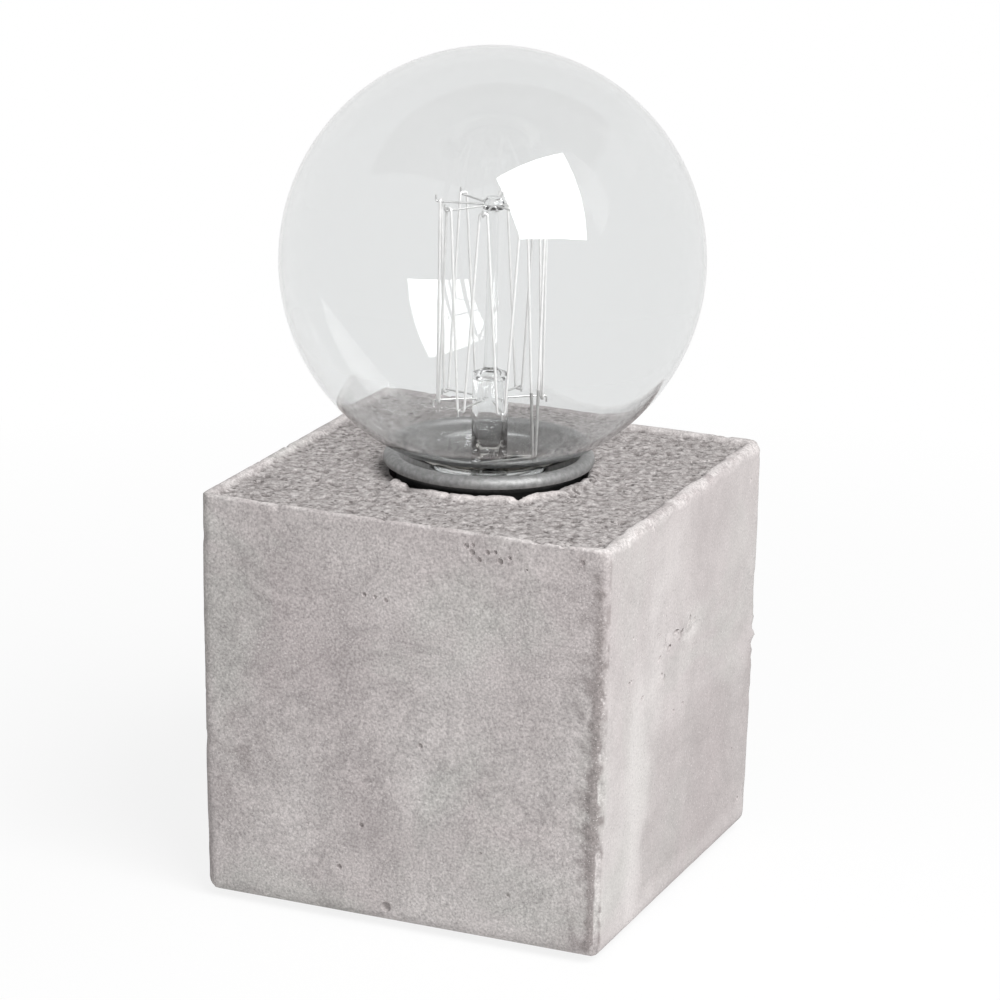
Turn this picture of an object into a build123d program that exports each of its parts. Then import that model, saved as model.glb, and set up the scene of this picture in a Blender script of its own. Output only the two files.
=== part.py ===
from build123d import *
import math
import os

# Table lamp: a clear globe bulb in a screw lampholder, sunk into a cast concrete cube.
# Millimetres, +Z up. The origin is on the table, under the middle of the cube.

# Felt pad under the cube
pad_thickness = 1.5
pad_inset = 6.0  # from the cube's underside outline to the felt's edge

# Cast concrete cube, poured from what is now its top
block_width = 97.8  # along X, over the rim
block_depth = 96.8  # along Y, over the rim
block_height = 94.5
block_draft = 0.8  # each side leans in by this much from the rim to the underside
block_corner_radius = 3.6
block_foot_radius = 3.2
rim_crest = 2.8  # raised rim that the mould's wall left round the pour face
rim_slope = 1.4
pan_depth = 1.0
rim_rounding = 0.7
mouth_chamfer = 1.2
shelf_thickness = 13.0  # concrete that the lampholder is clamped to
cavity_radius = 28.0
well_clearance = 1.1  # cast well round the lampholder cup
shelf_hole_clearance = 0.6  # cast hole round the nipple

# Lampholder cup with a rolled rim
cup_inner_radius = 20.3
cup_wall = 0.8
cup_corner_radius = 3.0
bead_radius = 1.85
bead_stand = 1.6  # middle of the rolled rim over the concrete rim
bead_open_angle = 70.0  # part of the roll that stays open, under the rim

# Globe bulb
globe_diameter = 95.0
globe_wall = 0.8
globe_gap = 2.0  # between the glass and the rolled rim
bulb_length = 136.0
neck_radius = 13.6
neck_fillet = 2.5
neck_foot_radius = 13.3  # just above the cap
cap_radius = 13.1
cap_wall = 0.4
cap_length = 27.0
cap_cone_height = 4.0
cap_floor_radius = 8.6
neck_in_cap = 11.0  # glass that is cemented into the cap
cement_gap = 0.5  # between the glass and the cap
cement_play = 0.05
insulator_height = 2.4  # black glass between the cap's floor and the end contact
insulator_plug = 2.5  # the part of it inside the cap
contact_radius = 4.8
contact_height = 1.2

# Stem, its rod and the squirrel cage of filament inside the globe
stem_radius = 5.0
stem_wall = 1.0
flare_wall = 0.9
stem_top_drop = 55.0  # top of the tube, under the middle of the globe
press_height = 6.0
press_thickness = 5.0
exhaust_radius = 1.3
exhaust_wall = 0.5
exhaust_tail = 6.0  # sealed tip, under the seal in the neck
rod_foot_radius = 2.4  # from the press to the collar
rod_radius = 1.5
rod_tip_radius = 1.1
button_radius = 2.4
button_height = 3.4
collar_radius = 4.1  # thick part of the rod, which carries the lower hooks
collar_drop = 10.5  # under the lower bends
collar_rise = 7.5
collar_ease = 1.2  # slope at its ends
cage_count = 8
cage_radius = 12.0
cage_drop = 32.5  # lower bends, under the middle of the globe
cage_rise = 13.3  # upper bends, over the middle of the globe
cage_phase = 12.6  # degrees, first upper bend from +X towards +Y
filament_radius = 0.3
filament_bend = 0.6
filament_peg = 0.85  # half the width of a bend
hook_radius = 0.22
hook_reach = 1.1  # past the filament
hook_tip = 1.5
hook_bend = 0.5
lead_radius = 0.35
lead_offset = 3.2  # from the axis, where the leads run through the stem
lead_bend = 0.9
lead_end_angle = 7.0  # degrees either side of the cage's open gap
lead_end_rise = 4.0
lead_stand = 15.5  # straight part under the end of the filament
lead_clear = 2.0  # straight part over the press
wire_play = 0.05  # between a wire and the glass or metal round it

# Screw socket inside the cup
thread_gap = 0.3  # cap to screw shell
shell_wall = 0.4
shell_height = 26.0
shell_flange_radius = 9.4  # opening in the shell's floor
socket_gap = 1.0  # socket to cup
socket_play = 0.1  # shell to socket
socket_rise = 2.6  # socket over the cap's rim
socket_floor = 2.0
pocket_depth = 5.5
pocket_width = 7.6
pocket_length = 7.4
pocket_offset = 10.3  # middle of a terminal pocket from the axis
terminal_play = 0.15
terminal_height = 4.0
contact_gap = 0.2  # end contact to spring tongue
tongue_rise = 1.8
tongue_width = 5.0
tongue_thickness = 0.4
tongue_reach = 7.6
tab_width = 3.6
wire_groove = 4.0
bracket_thickness = 1.2
bracket_width = 12.0
bracket_screw_offset = 12.6
bracket_end = 3.2  # strap past each screw
screw_radius = 1.5
screw_head_radius = 2.7
screw_head_height = 1.5
screw_grip = 5.0  # length held in the socket
screw_play = 0.05

# Hollow threaded nipple, its nuts and washers
nipple_radius = 5.0
nipple_wall = 1.4
nipple_play = 0.05
nipple_tail = 2.0  # past the lower nut
nut_across_flats = 14.0
nut_height = 3.0
lock_washer_radius = 9.0
lock_washer_thickness = 0.8
spread_washer_radius = 16.0
spread_washer_thickness = 1.6

# Bush where the cable enters at the back
bush_bore_radius = 3.5
bush_wall = 1.5
bush_length = 14.0
bush_flange_radius = 7.0
bush_flange_thickness = 1.6
bush_proud = 0.4
bush_play = 0.1

# Heights and places that follow from the sizes
block_bottom = pad_thickness
block_top = block_bottom + block_height
pan_floor = block_top - pan_depth
bead_plane = block_top + bead_stand
bead_centre_radius = cup_inner_radius + bead_radius
cup_radius = cup_inner_radius + cup_wall
well_radius = cup_radius + well_clearance

globe_radius = globe_diameter / 2
globe_reach = globe_radius + bead_radius + globe_gap
globe_centre = bead_plane + math.sqrt(globe_reach**2 - bead_centre_radius**2)
contact_bottom = globe_centre + globe_radius - bulb_length
contact_top = contact_bottom + contact_height
cap_floor = contact_top + insulator_height
cap_shoulder = cap_floor + cap_cone_height
cap_top = contact_bottom + cap_length
cap_inner_radius = cap_radius - cap_wall
neck_plug_radius = cap_inner_radius - cement_gap
seal_level = cap_top - neck_in_cap

stem_top = globe_centre - stem_top_drop
press_top = stem_top + press_height
cage_low = globe_centre - cage_drop
cage_high = globe_centre + cage_rise
cage_step = 360.0 / cage_count
low_hook_level = cage_low + filament_radius + hook_radius + wire_play
high_hook_level = cage_high - filament_radius - hook_radius - wire_play
lead_gap_angle = cage_phase - cage_step / 2

tongue_top = contact_bottom - contact_gap
socket_bore_floor = tongue_top - tongue_rise
pocket_ceiling = socket_bore_floor - socket_floor
socket_base = pocket_ceiling - pocket_depth
socket_top = cap_top + socket_rise
socket_radius = cup_inner_radius - socket_gap
shell_inner_radius = cap_radius + thread_gap
shell_radius = shell_inner_radius + shell_wall
socket_bore_radius = shell_radius + socket_play
terminal_bottom = pocket_ceiling - terminal_height

bracket_bottom = socket_base - bracket_thickness
upper_nut_bottom = bracket_bottom - nut_height
cup_floor = upper_nut_bottom - lock_washer_thickness
cup_seat = cup_floor - cup_wall
shelf_bottom = cup_seat - shelf_thickness
spread_washer_bottom = shelf_bottom - spread_washer_thickness
lower_nut_bottom = spread_washer_bottom - nut_height
nipple_bottom = lower_nut_bottom - nipple_tail
nipple_hole_radius = nipple_radius + nipple_play

inlet_level = (block_bottom + nipple_bottom) / 2
inlet_lean = block_draft * (block_top - inlet_level) / block_height
back_face = block_depth / 2 - inlet_lean
bush_radius = bush_bore_radius + bush_wall
bush_outer_face = back_face + bush_proud
flange_seat = bush_outer_face - bush_flange_thickness


# Shapes that repeat

def turned(edges):
    return revolve(Plane.XZ * make_face(edges), Axis.Z)


def turned_points(*points):
    return turned(Polyline(*points, close=True).edges())


def upright(radius, bottom, top):
    return Pos(0, 0, bottom) * Cylinder(radius, top - bottom, align=(Align.CENTER, Align.CENTER, Align.MIN))


def ring(outer_radius, inner_radius, bottom, top):
    return upright(outer_radius, bottom, top) - upright(inner_radius, bottom, top)


def slab(length, width, bottom, top):
    return Pos(0, 0, bottom) * Box(length, width, top - bottom, align=(Align.CENTER, Align.CENTER, Align.MIN))


def lying(radius, front, back, level):
    face = Plane(origin=(0, front, level), x_dir=(1, 0, 0), z_dir=(0, 1, 0)) * Circle(radius)
    return extrude(face, back - front)


def polar(radius, angle, level):
    turn = math.radians(angle)
    return Vector(radius * math.cos(turn), radius * math.sin(turn), level)


def wire(points, bend, radius):
    path = FilletPolyline(*points, radius=bend)
    section = Plane(origin=path @ 0, z_dir=path % 0) * Circle(radius)
    return sweep(section, path)


def hex_nut(bottom):
    outline = RegularPolygon(nut_across_flats / 2, 6, major_radius=False)
    blank = Pos(0, 0, bottom) * extrude(outline, nut_height)
    return blank - upright(nipple_hole_radius, bottom, bottom + nut_height)


def pan_screw(x, y, seat, grip):
    head = ring(screw_head_radius, screw_radius, seat - screw_head_height, seat)
    shank = upright(screw_radius, seat - screw_head_height, seat + grip)
    return Pos(x, y, 0) * (head + shank)


# Base

def make_felt_pad():
    length = block_width - 2 * block_draft - 2 * pad_inset
    width = block_depth - 2 * block_draft - 2 * pad_inset
    return extrude(RectangleRounded(length, width, block_corner_radius), pad_thickness)


def make_concrete_block():
    foot = RectangleRounded(block_width - 2 * block_draft, block_depth - 2 * block_draft, block_corner_radius)
    lean = math.degrees(math.atan2(block_draft, block_height))
    block = Pos(0, 0, block_bottom) * extrude(foot, block_height, taper=-lean)
    block = fillet(block.faces().sort_by(Axis.Z)[0].edges(), block_foot_radius)

    pour_face = Plane(origin=(0, 0, block_top), x_dir=(1, 0, 0), z_dir=(0, 0, -1))
    pan_corner = block_corner_radius + rim_slope
    pan = RectangleRounded(block_width - 2 * rim_crest, block_depth - 2 * rim_crest, pan_corner)
    pan_lean = math.degrees(math.atan2(rim_slope, pan_depth))
    block -= extrude(pour_face * pan, pan_depth, taper=pan_lean)
    block = fillet(block.faces().sort_by(Axis.Z)[-1].edges(), rim_rounding)

    block -= upright(well_radius, cup_seat, block_top)
    block -= turned_points(
        (0, pan_floor - mouth_chamfer),
        (well_radius, pan_floor - mouth_chamfer),
        (well_radius + mouth_chamfer, pan_floor),
        (0, pan_floor),
    )
    block -= upright(nipple_radius + shelf_hole_clearance, shelf_bottom, cup_seat)
    block -= upright(cavity_radius, block_bottom, shelf_bottom)
    block -= lying(bush_radius + bush_play, 0, bush_outer_face, inlet_level)
    block -= lying(bush_flange_radius + bush_play, flange_seat, bush_outer_face, inlet_level)
    return block


def make_cable_bush():
    barrel = lying(bush_radius, flange_seat - bush_length, bush_outer_face, inlet_level)
    flange = lying(bush_flange_radius, flange_seat, bush_outer_face, inlet_level)
    rounded = flange.edges().group_by(Axis.Y)[-1]
    flange = fillet(rounded, bush_proud)
    return barrel + flange - lying(bush_bore_radius, flange_seat - bush_length, bush_outer_face, inlet_level)


# Nipple, nuts and washers that clamp the lampholder to the concrete shelf

def make_threaded_nipple():
    return ring(nipple_radius, nipple_radius - nipple_wall, nipple_bottom, socket_base)


def make_lock_washer():
    return ring(lock_washer_radius, nipple_hole_radius, cup_floor, upper_nut_bottom)


def make_spread_washer():
    return ring(spread_washer_radius, nipple_hole_radius, spread_washer_bottom, shelf_bottom)


# Lampholder

def make_holder_cup():
    roll = bead_radius - cup_wall
    roll_end = 360.0 - bead_open_angle - 90.0
    inner_corner = cup_corner_radius - cup_wall
    middle = Vector(bead_centre_radius, bead_plane)
    outer_arc = CenterArc(middle, bead_radius, 180 - roll_end, roll_end)
    inner_arc = CenterArc(middle, roll, 180 - roll_end, roll_end)
    return turned(
        [
            Line((nipple_hole_radius, cup_seat), (cup_radius - cup_corner_radius, cup_seat)),
            CenterArc((cup_radius - cup_corner_radius, cup_seat + cup_corner_radius), cup_corner_radius, -90, 90),
            Line((cup_radius, cup_seat + cup_corner_radius), (cup_radius, bead_plane)),
            inner_arc,
            Line(inner_arc @ 0, outer_arc @ 0),
            outer_arc,
            Line((cup_inner_radius, bead_plane), (cup_inner_radius, cup_floor + inner_corner)),
            CenterArc((cup_inner_radius - inner_corner, cup_floor + inner_corner), inner_corner, -90, 90),
            Line((cup_inner_radius - inner_corner, cup_floor), (nipple_hole_radius, cup_floor)),
            Line((nipple_hole_radius, cup_floor), (nipple_hole_radius, cup_seat)),
        ]
    )


def make_socket_bracket():
    length = 2 * (bracket_screw_offset + bracket_end)
    strap = Pos(0, 0, bracket_bottom) * extrude(
        Rot(0, 0, 90) * SlotOverall(length, bracket_width), bracket_thickness
    )
    strap -= upright(nipple_hole_radius, bracket_bottom, socket_base)
    for side in (-1, 1):
        place = Pos(0, side * bracket_screw_offset, 0)
        strap -= place * upright(screw_radius + screw_play, bracket_bottom, socket_base)
    return strap


def make_bracket_screws():
    grip = bracket_thickness + screw_grip
    return [pan_screw(0, side * bracket_screw_offset, bracket_bottom, grip) for side in (-1, 1)]


def make_lamp_socket():
    socket = upright(socket_radius, socket_base, socket_top)
    socket -= upright(socket_bore_radius, socket_bore_floor, socket_top)
    socket -= upright(nipple_radius + nipple_play, socket_base, socket_base + wire_groove)
    for side in (-1, 1):
        pocket = Pos(side * pocket_offset, 0, 0)
        socket -= pocket * slab(pocket_length, pocket_width, socket_base, pocket_ceiling)
        groove = Pos(side * pocket_offset / 2, 0, 0)
        socket -= groove * slab(pocket_offset, wire_groove, socket_base, socket_base + wire_groove)
        hole = Pos(0, side * bracket_screw_offset, 0)
        socket -= hole * upright(screw_radius + screw_play, socket_base, socket_base + screw_grip + screw_play)
    socket -= tab_slot(-tongue_reach)
    socket -= tab_slot(pocket_offset)
    return socket


def tab_slot(place):
    length = tongue_thickness + 2 * socket_play
    width = tab_width + 2 * socket_play
    return Pos(place, 0, 0) * slab(length, width, pocket_ceiling, socket_bore_floor)


def contact_tab(place, top):
    return Pos(place, 0, 0) * slab(tongue_thickness, tab_width, pocket_ceiling, top)


def make_screw_shell():
    flange_top = socket_bore_floor + shell_wall
    shell = turned_points(
        (shell_flange_radius, socket_bore_floor),
        (shell_radius, socket_bore_floor),
        (shell_radius, socket_bore_floor + shell_height),
        (shell_inner_radius, socket_bore_floor + shell_height),
        (shell_inner_radius, flange_top),
        (shell_flange_radius, flange_top),
    )
    return shell + contact_tab(pocket_offset, flange_top)


def make_centre_contact():
    foot_top = socket_bore_floor + tongue_thickness
    crest = tongue_top - tongue_thickness
    lower_side = [
        (-tongue_reach - tongue_thickness / 2, socket_bore_floor),
        (-tongue_reach / 2, socket_bore_floor),
        (-contact_radius / 4, crest),
        (contact_radius / 4, crest),
        (tongue_reach / 2, foot_top),
    ]
    upper_side = [(x, z + tongue_thickness) for x, z in reversed(lower_side)]
    strip = Plane.XZ * make_face(Polyline(*lower_side, *upper_side, close=True).edges())
    return extrude(strip, tongue_width / 2, both=True) + contact_tab(-tongue_reach, foot_top)


def make_terminal(side):
    length = pocket_length - 2 * terminal_play
    width = pocket_width - 2 * terminal_play
    block = slab(length, width, terminal_bottom, pocket_ceiling)
    block -= upright(screw_radius + screw_play, terminal_bottom, pocket_ceiling)
    return Pos(side * pocket_offset, 0, 0) * block


def make_terminal_screws():
    grip = terminal_height - terminal_play
    return [pan_screw(side * pocket_offset, 0, terminal_bottom, grip) for side in (-1, 1)]


# Bulb

def glass_outline(inset):
    # Half outline of the blown glass, from its pole to the end of its neck
    sphere = globe_radius - inset
    blend = neck_fillet + inset
    blend_centre = Vector(neck_radius + neck_fillet, 0)
    blend_centre.Y = globe_centre - math.sqrt((globe_radius + neck_fillet) ** 2 - blend_centre.X**2)
    towards = (blend_centre - Vector(0, globe_centre)).normalized()
    meeting = Vector(0, globe_centre) + towards * sphere
    fall = math.degrees(math.atan2(towards.Y, towards.X))
    return [
        CenterArc((0, globe_centre), sphere, fall, 90 - fall),
        CenterArc(blend_centre, blend, 180 + fall, -fall),
        Line((neck_radius - inset, blend_centre.Y), (neck_foot_radius - inset, cap_top + globe_wall)),
        Line((neck_foot_radius - inset, cap_top + globe_wall), (neck_plug_radius - inset, cap_top)),
        Line((neck_plug_radius - inset, cap_top), (neck_plug_radius - inset, seal_level)),
    ]


def make_glass_globe():
    wall = [
        Line((0, globe_centre + globe_radius - globe_wall), (0, globe_centre + globe_radius)),
        Line((neck_plug_radius - globe_wall, seal_level), (neck_plug_radius, seal_level)),
    ]
    return turned(glass_outline(0) + glass_outline(globe_wall) + wall)


def make_cap_shell():
    return turned_points(
        (cap_radius, cap_top),
        (cap_radius, cap_shoulder),
        (cap_floor_radius, cap_floor),
        (cap_floor_radius, cap_floor + cap_wall),
        (cap_inner_radius, cap_shoulder + cap_wall),
        (cap_inner_radius, cap_top),
    )


def make_cap_insulator():
    plug_top = cap_floor + insulator_plug
    return turned_points(
        (lead_radius + wire_play, contact_top),
        (contact_radius, contact_top),
        (cap_floor_radius - cement_play, cap_floor),
        (cap_floor_radius - cement_play, plug_top),
        (lead_radius + wire_play, plug_top),
    )


def make_end_contact():
    disc = upright(contact_radius, contact_bottom, contact_top)
    return fillet(disc.edges().group_by(Axis.Z)[0], contact_height / 2)


def make_cap_cement():
    outer_radius = cap_inner_radius - cement_play
    return ring(outer_radius, neck_plug_radius + cement_play, seal_level, cap_top - 2 * globe_wall)


def press_plane(level):
    # The press is broad across the cage's open gap, where the leads come out
    return Plane(origin=(0, 0, level), x_dir=polar(1, lead_gap_angle + 90, 0), z_dir=(0, 0, 1))


def make_glass_stem():
    stem_inner = stem_radius - stem_wall
    flare_top = seal_level + 2 * stem_radius
    flare_inner = neck_plug_radius - stem_wall
    flare_foot = seal_level - flare_wall
    stem = turned_points(
        (neck_plug_radius, seal_level),
        (neck_plug_radius, flare_foot),
        (flare_inner, flare_foot),
        (stem_inner, flare_top),
        (stem_inner, stem_top),
        (0, stem_top),
        (0, press_top - press_thickness),
        (press_thickness / 2, press_top - press_thickness),
        (stem_radius, stem_top),
        (stem_radius, flare_top),
        (flare_inner, seal_level),
    )
    press_width = 2 * (stem_radius - stem_wall / 2)
    stem += extrude(press_plane(stem_top) * SlotOverall(press_width, press_thickness), press_height)
    for side in (-1, 1):
        start = polar(lead_offset, lead_gap_angle + 90 * side, stem_top)
        stem -= Pos(*start) * upright(lead_radius + wire_play, 0, press_height)
    return stem


def make_exhaust_tube():
    tip = seal_level - exhaust_tail
    bore = exhaust_radius - exhaust_wall
    tube = upright(exhaust_radius, tip, stem_top) - upright(bore, tip + exhaust_radius, stem_top)
    return fillet(tube.edges().group_by(Axis.Z)[0], exhaust_wall)


def make_glass_rod():
    button_low = high_hook_level - button_height / 2
    collar_low = cage_low - collar_drop
    collar_high = cage_low + collar_rise
    rod = turned_points(
        (0, press_top),
        (rod_foot_radius, press_top),
        (rod_foot_radius, collar_low),
        (collar_radius, collar_low + collar_ease),
        (collar_radius, collar_high - collar_ease),
        (rod_radius, collar_high),
        (rod_tip_radius, button_low),
        (0, button_low),
    )
    button = upright(button_radius, button_low, button_low + button_height)
    button = fillet(button.edges().filter_by(GeomType.CIRCLE), button_height / 4)
    rod += button
    for angle in high_hook_angles():
        rod -= radial_hole(angle, high_hook_level, button_radius)
    for angle in low_hook_angles():
        rod -= radial_hole(angle, low_hook_level, collar_radius)
    return rod


def high_hook_angles():
    return [cage_phase + cage_step * index for index in range(cage_count)]


def low_hook_angles():
    return [cage_phase + cage_step * (index + 0.5) for index in range(cage_count - 1)]


def hook_root(carrier_radius):
    # A wire is sunk into its glass by a third of the glass's radius
    return carrier_radius * 2 / 3


def radial_hole(angle, level, carrier_radius):
    start = polar(hook_root(carrier_radius), angle, level)
    drill = Plane(origin=start, z_dir=polar(1, angle, 0)) * Circle(hook_radius + wire_play)
    return extrude(drill, carrier_radius)


def make_hooks(angles, level, carrier_radius, tip):
    reach = cage_radius + hook_reach
    hooks = []
    for angle in angles:
        start = polar(hook_root(carrier_radius) + wire_play, angle, level)
        points = [start, polar(reach, angle, level), polar(reach, angle, level + tip)]
        hooks.append(wire(points, hook_bend, hook_radius))
    return hooks


def peg_points(angle, level):
    half_turn = math.degrees(filament_peg / cage_radius)
    return [polar(cage_radius, angle - half_turn, level), polar(cage_radius, angle + half_turn, level)]


def lead_end(side):
    return polar(cage_radius, lead_gap_angle + side * lead_end_angle, cage_low + lead_end_rise)


def filament_points():
    points = [lead_end(1)]
    lows = low_hook_angles()
    for index, angle in enumerate(high_hook_angles()):
        points += peg_points(angle, cage_high)
        if index < len(lows):
            points += peg_points(lows[index], cage_low)
    return points + [lead_end(-1)]


def make_filament():
    return wire(filament_points(), filament_bend, filament_radius)


def make_lead(side, foot):
    # From the cap, up through the press, out of the neck and straight up to the filament's end
    points = filament_points()
    end, beyond = (points[0], points[1]) if side > 0 else (points[-1], points[-2])
    along = (beyond - end).normalized()
    route = foot + [
        polar(lead_offset, lead_gap_angle + 90 * side, press_top + lead_clear),
        end - along * lead_stand,
        end - along * wire_play,
    ]
    return wire(route, lead_bend, lead_radius)


def make_lead_wires():
    bend_level = cap_floor + insulator_plug + lead_bend
    turn_level = bend_level + lead_offset
    to_contact = [
        Vector(0, 0, contact_top + wire_play),
        Vector(0, 0, bend_level),
        polar(lead_offset, lead_gap_angle + 90, turn_level),
    ]
    to_shell = [
        polar(cap_inner_radius - wire_play, lead_gap_angle - 90, turn_level),
        polar(lead_offset, lead_gap_angle - 90, turn_level),
    ]
    return [make_lead(1, to_contact), make_lead(-1, to_shell)]


# One named node for each piece, or for each set of like pieces

nodes = {
    "felt_pad": make_felt_pad(),
    "concrete_block": make_concrete_block(),
    "cable_bush": make_cable_bush(),
    "threaded_nipple": make_threaded_nipple(),
    "upper_nut": hex_nut(upper_nut_bottom),
    "lock_washer": make_lock_washer(),
    "spread_washer": make_spread_washer(),
    "lower_nut": hex_nut(lower_nut_bottom),
    "holder_cup": make_holder_cup(),
    "socket_bracket": make_socket_bracket(),
    "bracket_screws": make_bracket_screws(),
    "lamp_socket": make_lamp_socket(),
    "screw_shell": make_screw_shell(),
    "centre_contact": make_centre_contact(),
    "centre_terminal": make_terminal(-1),
    "shell_terminal": make_terminal(1),
    "terminal_screws": make_terminal_screws(),
    "glass_globe": make_glass_globe(),
    "cap_shell": make_cap_shell(),
    "cap_insulator": make_cap_insulator(),
    "end_contact": make_end_contact(),
    "cap_cement": make_cap_cement(),
    "glass_stem": make_glass_stem(),
    "exhaust_tube": make_exhaust_tube(),
    "glass_rod": make_glass_rod(),
    "top_hooks": make_hooks(high_hook_angles(), high_hook_level, button_radius, hook_tip),
    "bottom_hooks": make_hooks(low_hook_angles(), low_hook_level, collar_radius, -hook_tip),
    "filament": make_filament(),
    "lead_wires": make_lead_wires(),
}

os.makedirs("parts", exist_ok=True)
for name, shape in nodes.items():
    solid = Compound(children=shape) if isinstance(shape, list) else shape
    export_step(solid, f"parts/{name}.step")
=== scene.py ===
import math
import random

import bpy
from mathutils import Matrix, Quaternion, Vector, noise


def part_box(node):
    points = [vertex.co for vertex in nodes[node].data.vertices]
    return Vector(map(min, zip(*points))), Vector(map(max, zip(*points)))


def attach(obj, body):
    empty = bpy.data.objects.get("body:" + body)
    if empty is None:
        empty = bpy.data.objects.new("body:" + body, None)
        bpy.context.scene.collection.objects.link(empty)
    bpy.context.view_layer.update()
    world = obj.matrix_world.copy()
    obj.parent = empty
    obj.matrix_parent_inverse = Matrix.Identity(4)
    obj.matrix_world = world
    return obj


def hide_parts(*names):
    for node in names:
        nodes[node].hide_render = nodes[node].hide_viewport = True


# Concrete cube lamp with a clear globe bulb. Metres, +Z up, the front of the cube towards -Y.
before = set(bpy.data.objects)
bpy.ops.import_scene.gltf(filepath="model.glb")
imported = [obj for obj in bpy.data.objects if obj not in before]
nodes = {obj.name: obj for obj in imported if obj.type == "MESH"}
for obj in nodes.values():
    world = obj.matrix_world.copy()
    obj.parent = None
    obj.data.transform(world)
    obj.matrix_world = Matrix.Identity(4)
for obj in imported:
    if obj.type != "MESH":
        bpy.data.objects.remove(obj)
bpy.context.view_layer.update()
mm = 0.001
print("frame loaded:", len(nodes), "CAD nodes")


# Working tools

def clearSelection():
    if bpy.context.mode != "OBJECT":
        bpy.ops.object.mode_set(mode="OBJECT")
    bpy.ops.object.select_all(action="DESELECT")


def takeUp(piece):
    clearSelection()
    piece.select_set(True)
    bpy.context.view_layer.objects.active = piece


def nameNew(name):
    piece = bpy.context.active_object
    piece.name = name
    piece.data.name = name
    return piece


def bakePlace(piece):
    takeUp(piece)
    bpy.ops.object.transform_apply(location=True, rotation=True, scale=True)
    return piece


def pick(piece, kind, test):
    # leaves the piece in edit mode, with what passes the test selected
    takeUp(piece)
    bpy.ops.object.mode_set(mode="EDIT")
    bpy.ops.mesh.select_mode(type=kind)
    bpy.ops.mesh.select_all(action="DESELECT")
    bpy.ops.object.mode_set(mode="OBJECT")
    mesh = piece.data
    items = {"VERT": mesh.vertices, "EDGE": mesh.edges, "FACE": mesh.polygons}[kind]
    for item in items:
        item.select = test(item)
    bpy.ops.object.mode_set(mode="EDIT")


def edgeEnds(piece, edge):
    return [piece.data.vertices[index].co for index in edge.vertices]


def pickUpright(piece, tall):
    # edges that climb by more than this
    pick(piece, "EDGE", lambda e: abs(edgeEnds(piece, e)[0].z - edgeEnds(piece, e)[1].z) > tall)


def pickLevel(piece, level):
    # edges that lie at this height
    pick(piece, "EDGE", lambda e: all(abs(end.z - level) < 0.01 * mm for end in edgeEnds(piece, e)))


def applyModifiers(piece):
    takeUp(piece)
    for modifier in list(piece.modifiers):
        bpy.ops.object.modifier_apply(modifier=modifier.name)


def shadeSmooth(piece, angle=40):
    takeUp(piece)
    bpy.ops.object.shade_smooth_by_angle(angle=math.radians(angle))


def addCylinder(name, radius, bottom, top, steps=64):
    clearSelection()
    bpy.ops.mesh.primitive_cylinder_add(
        vertices=steps, radius=radius, depth=top - bottom, location=(0, 0, (top + bottom) / 2))
    return bakePlace(nameNew(name))


def addLyingCylinder(name, radius, front, back, level, steps=48):
    clearSelection()
    bpy.ops.mesh.primitive_cylinder_add(
        vertices=steps, radius=radius, depth=back - front,
        location=(0, (front + back) / 2, level), rotation=(math.pi / 2, 0, 0))
    return bakePlace(nameNew(name))


def cutAway(piece, cutter, overlaps=False):
    cut = piece.modifiers.new("cut", "BOOLEAN")
    cut.operation = "DIFFERENCE"
    cut.solver = "EXACT"
    cut.use_self = overlaps
    cut.object = cutter
    applyModifiers(piece)
    bpy.data.objects.remove(cutter)


def joinTo(piece, others):
    clearSelection()
    for other in others:
        other.select_set(True)
    piece.select_set(True)
    bpy.context.view_layer.objects.active = piece
    bpy.ops.object.join()


def drawRings(reach, level, stations):
    # carries the selected ring of edges on through the stations: radius, level
    for nextReach, nextLevel in stations:
        bpy.ops.mesh.extrude_edges_move(TRANSFORM_OT_translate={"value": (0, 0, nextLevel - level)})
        share = nextReach / reach
        bpy.ops.transform.resize(value=(share, share, 1), center_override=(0, 0, nextLevel))
        reach, level = nextReach, nextLevel


def faceOutwards():
    bpy.ops.mesh.select_all(action="SELECT")
    bpy.ops.mesh.remove_doubles(threshold=0.001 * mm)
    bpy.ops.mesh.normals_make_consistent(inside=False)
    bpy.ops.object.mode_set(mode="OBJECT")


def thicken(piece, wall, group=""):
    skin = piece.modifiers.new("wall", "SOLIDIFY")
    skin.thickness = wall
    skin.vertex_group = group
    skin.offset = -1
    skin.use_even_offset = True
    applyModifiers(piece)


def wholePiece(piece, body, slot, *replaced):
    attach(piece, body)
    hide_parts(*replaced)


# Node tools

def newMaterial(name):
    material = bpy.data.materials.new(name)
    material.use_nodes = True
    tree = material.node_tree
    return material, tree, tree.nodes["Principled BSDF"]


def addNode(tree, kind, sockets=None, **settings):
    made = tree.nodes.new("ShaderNode" + kind)
    for name, value in settings.items():
        setattr(made, name, value)
    for name, value in (sockets or {}).items():
        if isinstance(value, bpy.types.NodeSocket):
            tree.links.new(value, made.inputs[name])
        else:
            made.inputs[name].default_value = value
    return made


def objectCoords(tree, offset=(0, 0, 0), scale=(1, 1, 1)):
    coords = addNode(tree, "TexCoord").outputs["Object"]
    return addNode(tree, "Mapping", {"Vector": coords, "Location": offset, "Scale": scale}).outputs["Vector"]


def noiseAt(tree, coords, scale, detail=2.0, roughness=0.5, distortion=0.0):
    return addNode(tree, "TexNoise", {
        "Vector": coords, "Scale": scale, "Detail": detail,
        "Roughness": roughness, "Distortion": distortion}).outputs["Fac"]


def ranged(tree, value, low, high, start, end):
    return addNode(tree, "MapRange", {
        "Value": value, "From Min": low, "From Max": high,
        "To Min": start, "To Max": end}).outputs["Result"]


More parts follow.
